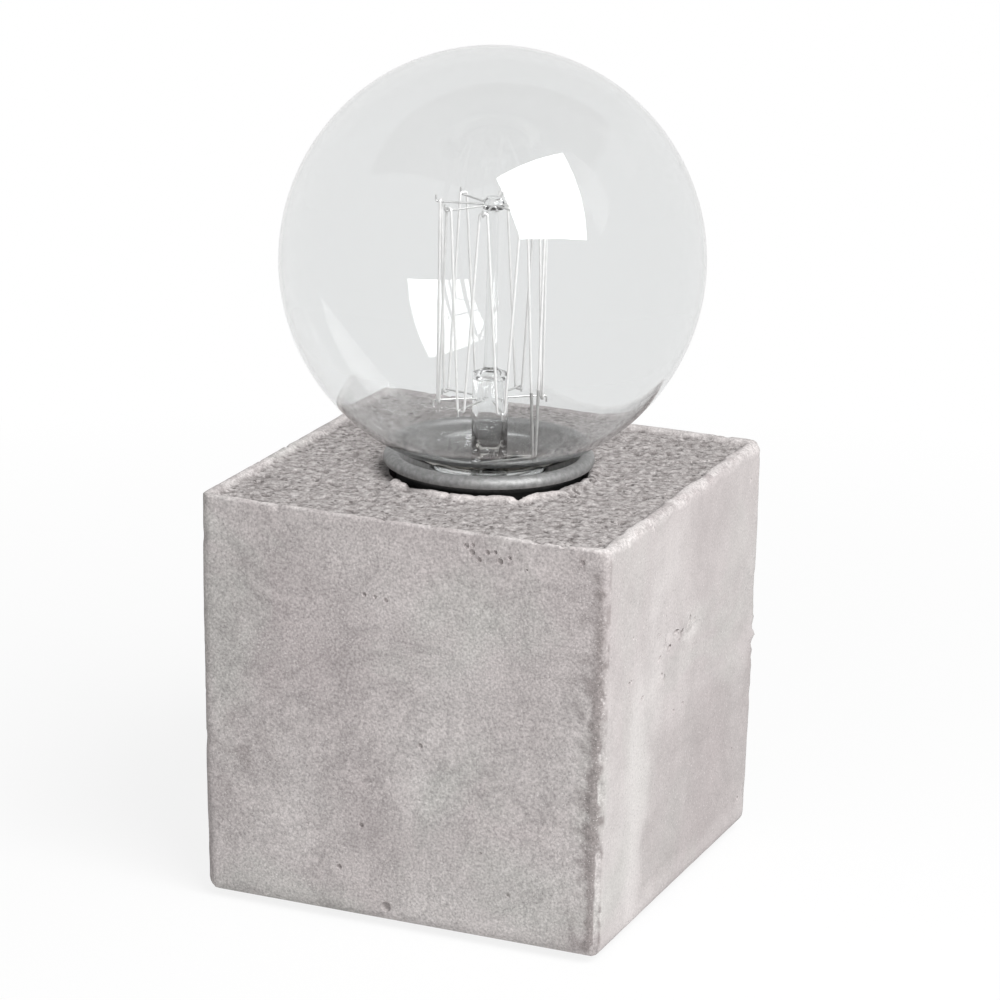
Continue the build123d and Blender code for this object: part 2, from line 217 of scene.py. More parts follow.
def blended(tree, factor, first, second, kind="MIX"):
    mix = addNode(tree, "Mix", {0: factor}, data_type="RGBA", blend_type=kind)
    for socket, value in ((mix.inputs[6], first), (mix.inputs[7], second)):
        if isinstance(value, bpy.types.NodeSocket):
            tree.links.new(value, socket)
        else:
            socket.default_value = (*value, 1.0)
    return mix.outputs[2]


def ramped(tree, factor, *stops):
    ramp = addNode(tree, "ValToRGB", {"Fac": factor})
    elements = ramp.color_ramp.elements
    while len(elements) < len(stops):
        elements.new(0.5)
    for element, (place, colour) in zip(elements, stops):
        element.position = place
        element.color = (*colour, 1.0)
    return ramp.outputs["Color"]


def reckoned(tree, kind, first, second):
    return addNode(tree, "Math", {0: first, 1: second}, operation=kind).outputs[0]


def scaled(tree, colour, value):
    # colour times a number
    level = addNode(tree, "CombineColor", {0: value, 1: value, 2: value}).outputs[0]
    return blended(tree, 1.0, colour, level, "MULTIPLY")


def attributeAt(tree, name):
    return addNode(tree, "Attribute", attribute_name=name).outputs["Fac"]


def addBump(tree, shader, height, strength, distance):
    bump = addNode(tree, "Bump", {"Height": height, "Strength": strength, "Distance": distance})
    tree.links.new(bump.outputs["Normal"], shader.inputs["Normal"])


def grey(level):
    return (level, level, level)


# Camera at the photograph's viewing angle

view = {
    "azimuth": 22.84, "elevation": 16.80, "roll": 1.077,  # degrees
    "lens": 150.08, "sensor": 36, "distance": 0.9468, "aim": (0.00316, -0.00066, 0.08849),
}


def towards(azimuth, elevation):
    a, e = math.radians(azimuth), math.radians(elevation)
    return Vector((math.sin(a) * math.cos(e), -math.cos(a) * math.cos(e), math.sin(e)))


def makeCamera():
    clearSelection()
    bpy.ops.object.camera_add()
    camera = nameNew("photoCamera")
    back = towards(view["azimuth"], view["elevation"])
    camera.location = Vector(view["aim"]) + back * view["distance"]
    camera.rotation_mode = "QUATERNION"
    level = back.to_track_quat("Z", "Y")
    camera.rotation_quaternion = level @ Quaternion((0, 0, 1), math.radians(view["roll"]))
    camera.data.lens = view["lens"]
    camera.data.sensor_width = view["sensor"]
    bpy.context.scene.camera = camera


makeCamera()
print("camera placed")


# White studio: floor, world and one softbox

studio = {
    "floorSize": 6.0, "floorWhite": 0.80, "floorRoughness": 0.9, "floorGlow": 0.85,
    "shadowStart": 0.12, "shadowEnd": 0.4,
    "ambient": 0.36, "backdrop": 1.0,
    "softboxPlace": (0.6537, -0.4521, 0.8661), "softboxTurn": (46.75, 14.98, 71.43),  # metres and degrees
    "softboxSize": 0.78, "softboxPower": 17.3,
}


def seenRay(tree):
    # rays that show the background: straight, mirrored or through glass
    path = addNode(tree, "LightPath").outputs
    direct = reckoned(tree, "MAXIMUM", path["Is Camera Ray"], path["Is Glossy Ray"])
    return reckoned(tree, "MAXIMUM", direct, path["Is Transmission Ray"])


def makeWorld():
    world = bpy.data.worlds.new("whiteStudio")
    bpy.context.scene.world = world
    world.use_nodes = True
    tree = world.node_tree
    ambient = tree.nodes["Background"]
    ambient.inputs["Color"].default_value = (1, 1, 1, 1)
    ambient.inputs["Strength"].default_value = studio["ambient"]
    backdrop = addNode(tree, "Background", {"Color": (1, 1, 1, 1), "Strength": studio["backdrop"]})
    mix = addNode(tree, "MixShader", {0: seenRay(tree), 1: ambient.outputs[0], 2: backdrop.outputs[0]})
    tree.links.new(mix.outputs[0], tree.nodes["World Output"].inputs["Surface"])


def floorMaterial():
    material, tree, shader = newMaterial("whiteFloor")
    shader.inputs["Base Color"].default_value = (*grey(studio["floorWhite"]), 1)
    shader.inputs["Roughness"].default_value = studio["floorRoughness"]
    shader.inputs["Specular IOR Level"].default_value = 0.0
    glow = addNode(tree, "Emission", {"Color": (1, 1, 1, 1), "Strength": 1.0})
    # the shadow stays round the cube, and the floor turns plain white further out
    away = addNode(tree, "VectorMath", {0: objectCoords(tree)}, operation="LENGTH").outputs["Value"]
    plain = ranged(tree, away, studio["shadowStart"], studio["shadowEnd"], studio["floorGlow"], 1.0)
    share = reckoned(tree, "MULTIPLY", seenRay(tree), plain)
    mix = addNode(tree, "MixShader", {0: share, 1: shader.outputs[0], 2: glow.outputs[0]})
    tree.links.new(mix.outputs[0], tree.nodes["Material Output"].inputs["Surface"])
    return material


def makeStage():
    clearSelection()
    bpy.ops.mesh.primitive_plane_add(size=studio["floorSize"])
    floor = nameNew("studioFloor")
    floor.data.materials.append(floorMaterial())


def makeSoftbox():
    clearSelection()
    bpy.ops.object.light_add(type="AREA")
    softbox = nameNew("keySoftbox")
    softbox.location = studio["softboxPlace"]
    softbox.rotation_euler = [math.radians(angle) for angle in studio["softboxTurn"]]
    softbox.data.shape = "SQUARE"
    softbox.data.size = studio["softboxSize"]
    softbox.data.energy = studio["softboxPower"]


bpy.context.scene.view_settings.view_transform = "Standard"
makeWorld()
makeStage()
makeSoftbox()
print("studio lit")


# Concrete cube, cast with its pour face up

cube = {
    "draft": 0.8 * mm, "cornerRadius": 2.3 * mm, "footRadius": 3.0 * mm, "roundSteps": 5, "sideCuts": 100,
    "footCorners": 0.7 * mm,  # the vertical edges are rounder at the foot
    "rimCrest": 2.6 * mm, "rimSlope": 1.3 * mm, "rimRagged": 0.75 * mm,
    "panDepth": 1.0 * mm, "edgeWear": 0.7 * mm, "topCuts": 210, "spare": 2.0 * mm, "spareTop": 1.0 * mm,
    "lumps": 0.22 * mm, "grit": 0.10 * mm, "burr": 1.6 * mm,  # heights on the pour face
    "ripple": 0.12 * mm, "rimChips": 0.9 * mm, "rightWear": 2.2,  # the right edge is worn this much more
    "poreSpacing": 3.6 * mm, "poreRadius": 1.0 * mm, "poreDepth": 0.6 * mm, "poreChance": 0.2,
    "burrAway": 0.3 * mm, "burrInside": 0.9 * mm, "burrOutside": 2.1 * mm,
    "waves": 0.28 * mm, "skin": 0.07 * mm, "scars": 0.8 * mm, "cornerChips": 0.6 * mm,  # depths on the sides
    "smearHeight": 0.3 * mm, "smearReach": (10 * mm, 1.6 * mm), "scarReach": 2.5 * mm, "footReach": 40 * mm,
    "leakHeight": 1.0 * mm, "leakLevel": 46 * mm, "leakReach": 9 * mm,
    "wellRadius": 22.2 * mm, "cavityRadius": 28.0 * mm, "holeRadius": 5.6 * mm, "fit": 0.1 * mm,
    "flangeWidth": 2.0 * mm, "flangeDepth": 1.6 * mm,  # seat of the bush
    "mouthRadius": 23.1 * mm, "mouthRagged": 0.3 * mm, "mouthDepth": 7.0 * mm, "mouthFlare": 2.2 * mm,
    "breaks": ((-50, 6.5, 2.0), (-84, 9, 0.4), (-122, 6, 0.7)),  # chipped lip: angle, half width, reach in mm
    "burrs": ((-30, 80), (-123, 6)),  # paste pushed up round the mouth: angle, half width
    "frontPits": ((-2.9, 5.4, 1.3), (17.0, 91.5, 0.8), (18.6, 90.1, 0.75), (23.6, 90.4, 0.8), (15.6, 92.8, 0.7),
                  (20.6, 92.0, 0.65), (22.4, 92.3, 0.55), (17.2, 93.2, 0.5), (25.8, 91.4, 0.5), (-8.6, 78.2, 0.6),
                  (-6.0, 78.0, 0.5), (-3.4, 77.6, 0.6)),  # across, up, radius
    "pits": 30, "pitRadius": (0.3, 0.7), "pitSpread": 0.44, "seed": 11, "chipStretch": (1, 1.9, 0.8),
    "rightChips": ((5.3, 64.7, 0.7), (2.4, 65.2, 1.1), (-2.6, 63.6, 1.2), (-4.6, 65.0, 0.6), (-9.6, 62.4, 1.1),
                   (-15.6, 61.6, 0.9), (-12.0, 55.8, 0.9), (-13.6, 57.4, 0.6), (-26.0, 55.6, 0.8),
                   (40.5, 88.2, 0.45)),
    "scarLine": ((-16.5, 61.8), (5.3, 64.7)), "smear": (-1.0, 37.5),  # on the right face: across, up
}
cubeLow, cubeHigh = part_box("concrete_block")
panFloor = cubeHigh.z - cube["panDepth"]


def stepUp(value, low, high):
    share = min(max((value - low) / (high - low), 0.0), 1.0)
    return share * share * (3 - 2 * share)


def hill(value, middle, width):
    return math.exp(-((value - middle) / width) ** 2)


def swell(place, grain, shift=0.0):
    # smooth noise from -1 to 1, with bumps about as wide as the grain; the shift picks another part of it
    return noise.noise(Vector(place) / grain + Vector((shift, shift * 0.7, shift * 0.3)))


def insideOutline(x, y, lean=0.0):
    # distance inwards from the cube's sides, and the way out
    corner = cube["cornerRadius"]
    over = Vector((abs(x) - cubeHigh.x + lean + corner, abs(y) - cubeHigh.y + lean + corner, 0))
    if over.x > 0 and over.y > 0:
        out = over.normalized()
        deep = corner - over.length
    else:
        out = Vector((1, 0, 0)) if over.x > over.y else Vector((0, 1, 0))
        deep = corner - max(over.x, over.y)
    return deep, Vector((math.copysign(out.x, x), math.copysign(out.y, y), 0))


def panShare(x, y):
    # 0 on the rim and 1 on the pan; the rim is thin along the front and left, and broad on the right
    deep = insideOutline(x, y)[0]
    ragged = swell((x, y, 0), 9 * mm) + 0.6 * swell((x, y, 0), 3 * mm, 4)
    front = stepUp(-y - abs(x), -6 * mm, 10 * mm)
    right = stepUp(x - abs(y), -10 * mm, 6 * mm)
    start = cube["rimCrest"] * (0.7 + 0.3 * right - 0.35 * front) + cube["rimRagged"] * ragged
    return stepUp(deep, start, start + cube["rimSlope"] * (1 - 0.3 * front))


def mouthRadius(angle):
    # ragged edge of the well, with pieces broken out at the front
    reach = cube["mouthRadius"]
    for middle, width, depth in cube["breaks"]:
        away = (math.degrees(angle) - middle + 180) % 360 - 180
        reach += depth * mm * hill(away, 0, width)
    edge = (math.cos(angle) * reach, math.sin(angle) * reach, 0)
    return reach + cube["mouthRagged"] * (swell(edge, 4.5 * mm, 2) + 0.7 * swell(edge, 1.6 * mm, 7))


def lipWeight(x, y):
    # burr of paste round the front of the mouth, steep inside and sloping outside
    angle = math.atan2(y, x)
    away = math.hypot(x, y) - mouthRadius(angle) - cube["burrAway"]
    share = 0.0
    for middle, width in cube["burrs"]:
        turn = abs((math.degrees(angle) - middle + 180) % 360 - 180)
        share = max(share, 1 - stepUp(turn, width * 0.75, width * 1.15))
    return share * hill(away, 0, cube["burrInside"] if away < 0 else cube["burrOutside"])


def poreWeight(x, y):
    # burst bubbles of the pour face, in some of the cells
    spacing = cube["poreSpacing"]
    place = Vector((x / spacing, y / spacing, 0.0))
    points = noise.voronoi(place)[1]
    chance = noise.cell(points[0] * 7.3)
    size = cube["poreRadius"] / spacing * min(0.6 + 1.8 * abs(chance), 1.0)
    flat = (place.xy - points[0].xy).length
    return 1 - stepUp(flat, size * 0.65, size) if chance < cube["poreChance"] else 0.0


def pourHeight(x, y):
    place = (x, y, 0)
    deep = insideOutline(x, y)[0]
    share = panShare(x, y)
    lumps = swell(place, 5 * mm) + 0.6 * swell(place, 2.4 * mm, 3)
    grit = swell(place, 1.2 * mm, 5) + 0.6 * swell(place, 0.7 * mm, 8)
    level = cubeHigh.z - cube["ripple"] * (1 + swell(place, 12 * mm, 20)) - share * cube["panDepth"]
    level += share * (cube["lumps"] * lumps + cube["grit"] * grit)
    level += cube["burr"] * lipWeight(x, y) * (0.75 + 0.5 * swell(place, 2.2 * mm, 15))
    if share > 0.5:
        level -= cube["poreDepth"] * poreWeight(x, y)
    wear = cube["edgeWear"] * (0.9 + 0.5 * swell(place, 5 * mm, 25))
    wear *= 1 + cube["rightWear"] * stepUp(x - abs(y), -4 * mm, 2 * mm)
    rounded = min(max(deep, 0.0) / wear, 1.0)
    level -= wear * (1 - math.sqrt(1 - (1 - rounded) ** 2))
    chips = stepUp(swell(place, 3.5 * mm, 30), 0.25, 0.6) * (1 - stepUp(deep, 0.2 * mm, 1.8 * mm))
    return min(level - cube["rimChips"] * chips, cubeHigh.z)


def castBlank():
    low, high = cubeLow.copy(), cubeHigh.copy()
    high.z += cube["spareTop"]
    size = high - low
    clearSelection()
    bpy.ops.mesh.primitive_cube_add(size=1, location=(low + high) / 2, scale=size)
    blank = bakePlace(nameNew("concreteCube"))
    pick(blank, "FACE", lambda face: face.normal.z < -0.9)
    lean = 2 * cube["draft"]
    bpy.ops.transform.resize(
        value=(1 - lean / size.x, 1 - lean / size.y, 1), center_override=(0, 0, low.z))
    tall = size.z / 2
    pickUpright(blank, tall)
    bpy.ops.mesh.bevel(offset=cube["cornerRadius"], segments=cube["roundSteps"], affect="EDGES")
    pickLevel(blank, low.z)
    bpy.ops.mesh.bevel(offset=cube["footRadius"], segments=cube["roundSteps"], affect="EDGES")
    # a fine net on the four sides, to hold their waves and scars
    pickUpright(blank, tall)
    bpy.ops.mesh.subdivide(number_cuts=cube["sideCuts"])
    pick(blank, "EDGE", lambda e: (edgeEnds(blank, e)[0] - edgeEnds(blank, e)[1]).length > tall)
    bpy.ops.mesh.subdivide(number_cuts=cube["sideCuts"])
    bpy.ops.object.mode_set(mode="OBJECT")
    return blank


def pourCutter():
    # everything over the pour face: rim, pan, grit, burr and chipped edges
    size = cubeHigh - cubeLow
    top = cubeHigh.z + 3 * mm
    clearSelection()
    bpy.ops.mesh.primitive_grid_add(x_subdivisions=cube["topCuts"], y_subdivisions=cube["topCuts"], size=1)
    cutter = nameNew("overPourFace")
    cutter.scale = (size.x + 2 * cube["spare"], size.y + 2 * cube["spare"], 1)
    bakePlace(cutter)
    for vertex in cutter.data.vertices:
        vertex.co.z = pourHeight(vertex.co.x, vertex.co.y)
    pick(cutter, "FACE", lambda face: True)
    bpy.ops.mesh.extrude_region_move(TRANSFORM_OT_translate={"value": (0, 0, 4 * mm)})
    bpy.ops.transform.resize(value=(1, 1, 0), center_override=(0, 0, top))
    bpy.ops.mesh.dissolve_faces()
    bpy.ops.mesh.select_all(action="SELECT")
    bpy.ops.mesh.normals_make_consistent(inside=False)
    bpy.ops.object.mode_set(mode="OBJECT")
    return cutter


def mouthCutter():
    # plug with the mouth's ragged outline, narrower at its bottom
    bottom, top, flare = panFloor - cube["mouthDepth"], panFloor + 2 * mm, cube["mouthFlare"]
    clearSelection()
    bpy.ops.mesh.primitive_circle_add(vertices=180, radius=1, fill_type="NGON", location=(0, 0, bottom))
    plug = bakePlace(nameNew("mouth"))
    for vertex in plug.data.vertices:
        angle = math.atan2(vertex.co.y, vertex.co.x)
        reach = mouthRadius(angle) - flare
        vertex.co.x = math.cos(angle) * reach
        vertex.co.y = math.sin(angle) * reach
    pick(plug, "FACE", lambda face: True)
    lastLevel = bottom
    for level, share in ((panFloor, 1 + flare / cube["mouthRadius"]), (top, 1.0)):
        bpy.ops.mesh.extrude_region_move(TRANSFORM_OT_translate={"value": (0, 0, level - lastLevel)})
        bpy.ops.transform.resize(value=(share, share, 1), center_override=(0, 0, level))
        lastLevel = level
    bpy.ops.mesh.select_all(action="SELECT")
    bpy.ops.mesh.normals_make_consistent(inside=False)
    bpy.ops.object.mode_set(mode="OBJECT")
    return plug


def leanAt(level):
    return cube["draft"] * (cubeHigh.z - level) / (cubeHigh.z - cubeLow.z)


def pitCutters():
    # bubbles that burst at the mould's walls: the front's own, a large one low down, and scattered ones
    random.seed(cube["seed"])
    places = []
    for across, up, radius in cube["frontPits"]:
        places.append((Vector((across * mm, cubeLow.y + leanAt(up * mm), up * mm)), radius * mm))
    for index in range(cube["pits"]):
        level = random.uniform(cubeLow.z + 4 * mm, cubeHigh.z - 3 * mm)
        along = random.uniform(-cube["pitSpread"], cube["pitSpread"])
        side = index % 4
        reach = Vector((cubeHigh.x - leanAt(level), cubeHigh.y - leanAt(level), 0))
        x = (along * 2 * cubeHigh.x, reach.x, along * 2 * cubeHigh.x, -reach.x)[side]
        y = (-reach.y, along * 2 * cubeHigh.y, reach.y, along * 2 * cubeHigh.y)[side]
        places.append((Vector((x, y, level)), random.uniform(*cube["pitRadius"]) * mm))
    pits = []
    for place, radius in places:
        clearSelection()
        bpy.ops.mesh.primitive_ico_sphere_add(subdivisions=2, radius=radius, location=place)
        pits.append(bakePlace(nameNew("pit")))
    for across, up, radius in cube["rightChips"]:
        clearSelection()
        bpy.ops.mesh.primitive_ico_sphere_add(
            subdivisions=1, radius=radius * mm, location=(cubeHigh.x - leanAt(up * mm), across * mm, up * mm),
            rotation=(random.uniform(0.2, 1.2), 0, random.uniform(0, 1)), scale=cube["chipStretch"])
        pits.append(bakePlace(nameNew("chip")))
    return pits


def innerCutters():
    # well, cable hole, wiring cavity and the bush's seat, with the mouth and the pits
    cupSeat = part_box("holder_cup")[0].z
    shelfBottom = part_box("spread_washer")[1].z
    bushLow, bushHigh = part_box("cable_bush")
    level = (bushLow.z + bushHigh.z) / 2
    flangeRadius = (bushHigh.x - bushLow.x) / 2 + cube["fit"]
    barrelRadius = flangeRadius - cube["flangeWidth"]
    past = 5 * mm
    cutter = addCylinder("well", cube["wellRadius"], cupSeat, cubeHigh.z + past, 128)
    joinTo(cutter, [
        mouthCutter(),
        addCylinder("hole", cube["holeRadius"], shelfBottom - 1 * mm, cupSeat + 1 * mm),
        addCylinder("cavity", cube["cavityRadius"], cubeLow.z - past, shelfBottom, 128),
        addLyingCylinder("inlet", barrelRadius, 0, bushHigh.y + past, level),
        addLyingCylinder("flangeSeat", flangeRadius, bushHigh.y - cube["flangeDepth"], bushHigh.y + past, level),
        *pitCutters()])
    return cutter


def alongScar(y, z):
    # closeness to the line of scars on the right face
    start, end = (Vector((a * mm, b * mm)) for a, b in cube["scarLine"])
    run = end - start
    share = min(max((Vector((y, z)) - start).dot(run) / run.length_squared, 0.0), 1.0)
    return hill((Vector((y, z)) - start - run * share).length, 0, cube["scarReach"])


def sideShift(place, out):
    # how far a point of the sides stands out: the mould's waves, scars and leaked paste
    shift = cube["waves"] * swell(place, 30 * mm) + cube["skin"] * swell(place, 4 * mm, 3)
    if out.x > 0.9:
        scars = stepUp(swell(place, 4.5 * mm, 9), 0.05, 0.3) * alongScar(place.y, place.z)
        shift -= cube["scars"] * scars
        (across, up), (wide, tall) = cube["smear"], cube["smearReach"]
        smear = hill(place.y, across * mm, wide) * hill(place.z, up * mm, tall)
        shift += cube["smearHeight"] * smear * (0.6 + swell(place, 3 * mm, 14))
    corner = min(abs(out.x), abs(out.y))
    if out.x > 0 and out.y > 0:
        leak = hill(place.z, cube["leakLevel"], cube["leakReach"]) * stepUp(corner, 0.1, 0.5)
        shift += cube["leakHeight"] * leak * (0.3 + swell(place, 2.2 * mm, 18))
    turning = stepUp(corner, 0.1, 0.65)
    shift -= cube["cornerChips"] * turning * stepUp(swell(place, 5 * mm, 22), 0.25, 0.6)
    shift -= cube["footCorners"] * turning * (1 - stepUp(place.z, cubeLow.z, cubeLow.z + cube["footReach"]))
    return shift


def wearSides(block):
    for vertex in block.data.vertices:
        deep, out = insideOutline(vertex.co.x, vertex.co.y, leanAt(vertex.co.z))
        share = 1 - stepUp(deep, 0.8 * mm, 3 * mm)
        share *= stepUp(vertex.co.z, cubeLow.z, cubeLow.z + 2 * mm)
        if share > 0:
            vertex.co += out * share * sideShift(vertex.co, out)


stainsAndLight = {
    "rim": 0.9, "rimDrop": (0.9 * mm, 0.2 * mm), "crest": 0.8,  # pale
    "stripe": 1.3, "stripeHigh": 0.5, "stripeFade": (70 * mm, 90 * mm), "stripeIn": 1.8 * mm,
    "stripeWidth": 1.5 * mm, "dirt": 1.1, "dirtIn": 2 * mm, "dirtWidth": 6 * mm,  # dark, beside the front edge
    "rough": 0.8, "roughAcross": (-40 * mm, 9 * mm), "roughUp": (36 * mm, 13 * mm),  # middle and reach
    "side": 0.25, "damp": 0.55, "warp": 4 * mm,  # the right face: painted paler as painted light, and dark where it is damp
    "dampAcross": (-23 * mm, -20.5 * mm), "dampTop": (38 * mm, 47 * mm), "dampFoot": (7 * mm, 10 * mm),
    "band": 0.45, "bandAcross": (-28 * mm, 4.5 * mm), "bandFade": (50 * mm, 70 * mm), "scar": 1.1,
}


def sideWearAndLight(x, y, z, out):
    # dirt down the front edge, chips along the rim, a rough patch at the left, a damp one on the right, and
    # painted light: the whole right face painted paler
    place = (x, y, z)
    rimLow, rimHigh = (cubeHigh.z - drop for drop in stainsAndLight["rimDrop"])
    wear = stainsAndLight["rim"] * stepUp(z, rimLow, rimHigh) * stepUp(swell(place, 5 * mm, 44), -0.2, 0.5)
    if out.y < -0.3 and x > 0:
        inwards = cubeHigh.x - leanAt(z) - x
        stripe = stainsAndLight["stripeHigh"] + stainsAndLight["stripe"] * (1 - stepUp(z, *stainsAndLight["stripeFade"]))
        stripe *= hill(inwards, stainsAndLight["stripeIn"], stainsAndLight["stripeWidth"])
        wear -= stripe * (0.8 + 0.4 * swell(place, 11 * mm, 40))
        dirt = hill(inwards, stainsAndLight["dirtIn"], stainsAndLight["dirtWidth"])
        wear -= stainsAndLight["dirt"] * dirt * stepUp(swell(place, 2.4 * mm, 41), -0.1, 0.45)
    if out.y < -0.9:
        rough = hill(x, *stainsAndLight["roughAcross"]) * hill(z, *stainsAndLight["roughUp"])
        wear -= stainsAndLight["rough"] * rough * stepUp(swell(place, 6 * mm, 50), -0.15, 0.15)
    if out.x > 0.5:
        warp = stainsAndLight["warp"] * swell(place, 12 * mm, 60)
        damp = stepUp(y + warp, *stainsAndLight["dampAcross"]) * (1 - stepUp(z + warp, *stainsAndLight["dampTop"]))
        damp *= stepUp(z + 0.5 * warp, *stainsAndLight["dampFoot"])
        # painted light: the whole right face is painted paler, as its lit side
        wear += stainsAndLight["side"] - stainsAndLight["damp"] * damp
        band = hill(y + 0.5 * warp, *stainsAndLight["bandAcross"]) * (1 - stepUp(z, *stainsAndLight["bandFade"]))
        wear += stainsAndLight["band"] * band
        wear += stainsAndLight["scar"] * alongScar(y, z) * stepUp(swell(place, 4.5 * mm, 9), 0.0, 0.3)
    return wear


def paintTones(block):
    # pour face, pores marked for painted shade, burr, wear with the right face's painted light (dark below 0,
    # pale over 0), and the smooth right face, for the material
    names = ("pourTone", "poreShadeTone", "lipTone", "wearAndLightTone", "smoothTone")
    for name in names:
        block.data.attributes.new(name, "FLOAT", "POINT")
    pour, poreShade, lip, wear, smooth = (block.data.attributes[name].data for name in names)
    for vertex in block.data.vertices:
        x, y, z = vertex.co
        deep, out = insideOutline(x, y, leanAt(z))
        level = stepUp(z, panFloor - 3 * mm, panFloor - 1.5 * mm)
        if level > 0:
            share = panShare(x, y) * level
            pour[vertex.index].value = share
            # the burr is palest at the front
            angle = math.degrees(math.atan2(y, x))
            lip[vertex.index].value = lipWeight(x, y) * level * (1 - stepUp(angle, -40, -10))
            crest = stainsAndLight["crest"] * (1 - share)
            wear[vertex.index].value = crest * stepUp(swell((x, y, 0), 4 * mm, 47), -0.3, 0.3)
            if share > 0.5:
                # painted shade: pore marks for darkening the pores in the material
                poreShade[vertex.index].value = poreWeight(x, y)
        if deep < 0.4 * mm:
            wear[vertex.index].value = sideWearAndLight(x, y, z, out)
            smooth[vertex.index].value = stepUp(out.x, 0.5, 0.95)


def makeConcreteCube():
    block = castBlank()
    cutAway(block, pourCutter())
    cutAway(block, innerCutters(), True)
    wearSides(block)
    paintTones(block)
    shadeSmooth(block, 50)
    block.data.materials.append(concreteMaterial())
    wholePiece(block, "base", "concrete", "concrete_block")
    print("concrete cube cast:", len(block.data.polygons), "faces")


concrete = {
    "roughness": 0.92, "gloss": 0.25, "bump": 0.5, "bumpHeight": 0.2 * mm,
    "toneScale": 17, "patchScale": 24, "mottleScale": 110, "markScale": 42,  # bumps in a metre
    "crustScale": 620, "pinholeScale": 620.0, "sandScale": 1700, "speckScale": 2600,
    "body": ((0.34, (0.425, 0.386, 0.384)), (0.5, (0.47, 0.435, 0.43)), (0.66, (0.52, 0.492, 0.484))),
    "crust": ((0.34, (0.19, 0.172, 0.168)), (0.5, (0.345, 0.322, 0.316)), (0.66, (0.53, 0.503, 0.496))),
    "marks": ((0.5, grey(1.0)), (0.515, grey(0.86)), (0.54, grey(0.93)), (0.66, grey(1.0))),
    # pinhole and pore colours: painted shade inside the holes
    "patch": (0.46, 0.455, 0.435), "pinholeShade": (0.1, 0.09, 0.088), "poreShade": (0.12, 0.108, 0.105),
    "burr": (0.6, 0.56, 0.55), "paleWearAndLight": (0.66, 0.63, 0.62), "darkWear": (0.22, 0.195, 0.19),
    "paleSpeck": (0.74, 0.71, 0.7), "darkSpeck": (0.16, 0.15, 0.148),
    "mottle": (0.9, 1.08), "sand": (0.64, 1.34), "smoothSand": 0.65, "smoothMarks": 0.3,
}


def pinholeShare(tree, coords):
    # painted shade of pinholes in the pour face, in about a third of the cells
    cells = addNode(tree, "TexVoronoi", {"Vector": coords, "Scale": concrete["pinholeScale"]}).outputs
    pickedCell = addNode(tree, "SeparateColor", {0: cells["Color"]}).outputs[0]
    chosen = ranged(tree, pickedCell, 0.62, 0.68, 0, 0.85)
    return reckoned(tree, "MULTIPLY", ranged(tree, cells["Distance"], 0.2, 0.32, 1, 0), chosen)


def concreteMaterial():
    material, tree, shader = newMaterial("castConcrete")
    coords = objectCoords(tree)
    smooth, pour, wear = (attributeAt(tree, name) for name in ("smoothTone", "pourTone", "wearAndLightTone"))
    body = ramped(tree, noiseAt(tree, coords, concrete["toneScale"], 3, 0.5, 0.5), *concrete["body"])
    patches = noiseAt(tree, objectCoords(tree, (0.31, 0.12, 0.7)), concrete["patchScale"], 4, 0.55, 0.8)
    body = blended(tree, ranged(tree, patches, 0.5, 0.64, 0, 0.6), body, concrete["patch"])
    mottle = noiseAt(tree, coords, concrete["mottleScale"], 6, 0.65)
    body = scaled(tree, body, ranged(tree, mottle, 0.3, 0.7, *concrete["mottle"]))
    # water marks, darkest at their borders
    marks = noiseAt(tree, objectCoords(tree, (0.55, 0.2, 0.1)), concrete["markScale"], 5, 0.55, 1.2)
    marked = ranged(tree, smooth, 0, 1, 1.0, concrete["smoothMarks"])
    body = blended(tree, marked, body, ramped(tree, marks, *concrete["marks"]), "MULTIPLY")
    # pour face, with its holes painted dark as shade, and the burr
    crust = noiseAt(tree, coords, concrete["crustScale"], 5, 0.7)
    body = blended(tree, pour, body, ramped(tree, crust, *concrete["crust"]))
    pinholeShadeMask = reckoned(tree, "MULTIPLY", pinholeShare(tree, coords), pour)
    body = blended(tree, pinholeShadeMask, body, concrete["pinholeShade"])
    # painted shade: the burst pores are darkened inside, over the shade of their own cut
    poreShadeMask = ranged(tree, attributeAt(tree, "poreShadeTone"), 0.1, 0.8, 0, 0.75)
    body = blended(tree, poreShadeMask, body, concrete["poreShade"])
    burr = ranged(tree, attributeAt(tree, "lipTone"), 0.25, 0.7, 0, 0.85)
    body = blended(tree, burr, body, concrete["burr"])
    # pale where worn, and painted light where the right face is painted paler
    body = blended(tree, ranged(tree, wear, 0.1, 0.9, 0, 0.7), body, concrete["paleWearAndLight"])
    body = blended(tree, ranged(tree, wear, -0.1, -1.4, 0, 0.8), body, concrete["darkWear"])
    # sand, weaker on the smooth right face
    sand = noiseAt(tree, coords, concrete["sandScale"], 3, 0.6)
    sanded = scaled(tree, body, ranged(tree, sand, 0.25, 0.75, *concrete["sand"]))
    body = blended(tree, ranged(tree, smooth, 0, 1, 0, concrete["smoothSand"]), sanded, body)
    specks = noiseAt(tree, objectCoords(tree, (0.9, 0.4, 0.2)), concrete["speckScale"], 1, 0.5)
    body = blended(tree, ranged(tree, specks, 0.66, 0.74, 0, 0.6), body, concrete["paleSpeck"])
    body = blended(tree, ranged(tree, specks, 0.34, 0.26, 0, 0.5), body, concrete["darkSpeck"])
    tree.links.new(body, shader.inputs["Base Color"])
    shader.inputs["Roughness"].default_value = concrete["roughness"]
    shader.inputs["Specular IOR Level"].default_value = concrete["gloss"]
    addBump(tree, shader, sand, concrete["bump"], concrete["bumpHeight"])
    return material


makeConcreteCube()


# Clear glass: the blown globe, and the glass inside it

